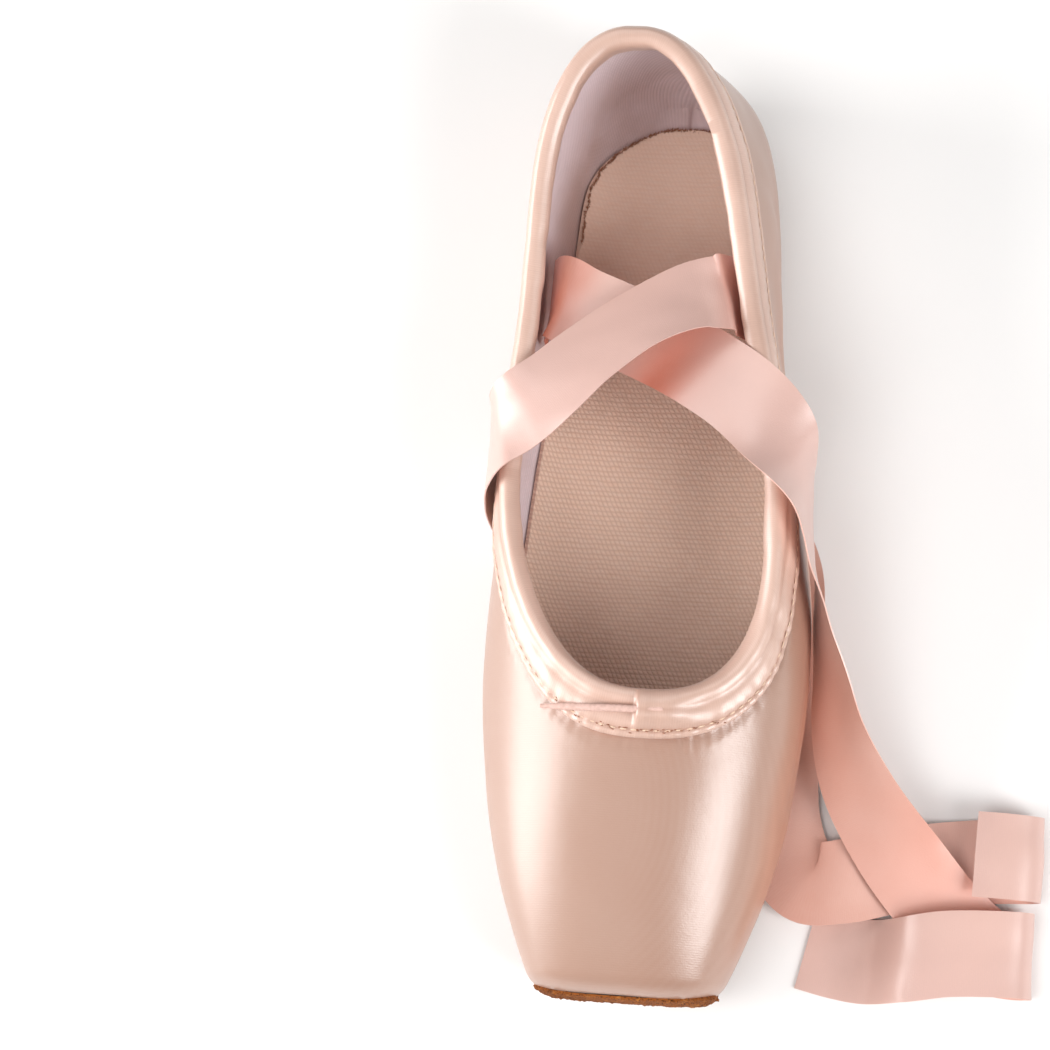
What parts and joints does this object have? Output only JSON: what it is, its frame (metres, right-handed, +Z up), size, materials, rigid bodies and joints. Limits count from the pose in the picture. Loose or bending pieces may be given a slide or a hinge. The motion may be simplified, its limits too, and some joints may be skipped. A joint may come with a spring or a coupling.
{
  "type": "pointe shoe",
  "caption": "Satin pointe shoe with a stiff pleated toe box, suede-covered toe face, thin leather sole, canvas insole, bound collar with drawstring end, and two sewn ribbons.",
  "frame": {"origin": "on the floor, under the middle of the shoe's own box, ribbons left out", "axes": "-Y towards the toe, +Y towards the heel, +Z up, +X to the right as the toe faces the viewer"},
  "size_m": [0.1401, 0.2378, 0.0638],
  "materials": {
    "satin": "satin weave with a soft sheen",
    "binding_satin": "satin weave, folded over and stitched",
    "ribbon_satin": "satin ribbon",
    "drawstring": "flat cotton braid",
    "canvas": "coarse plain weave",
    "suede": "suede nap",
    "sole_leather": "matt leather, worn edge"
  },
  "bodies": {
    "root": {"upper": "satin", "outsole": "sole_leather", "insole": "canvas", "toe_tip": "suede", "collar_binding": "binding_satin", "drawstring_end": "drawstring", "ribbon_from_right": "ribbon_satin", "ribbon_from_left": "ribbon_satin"}
  },
  "joints": []
}
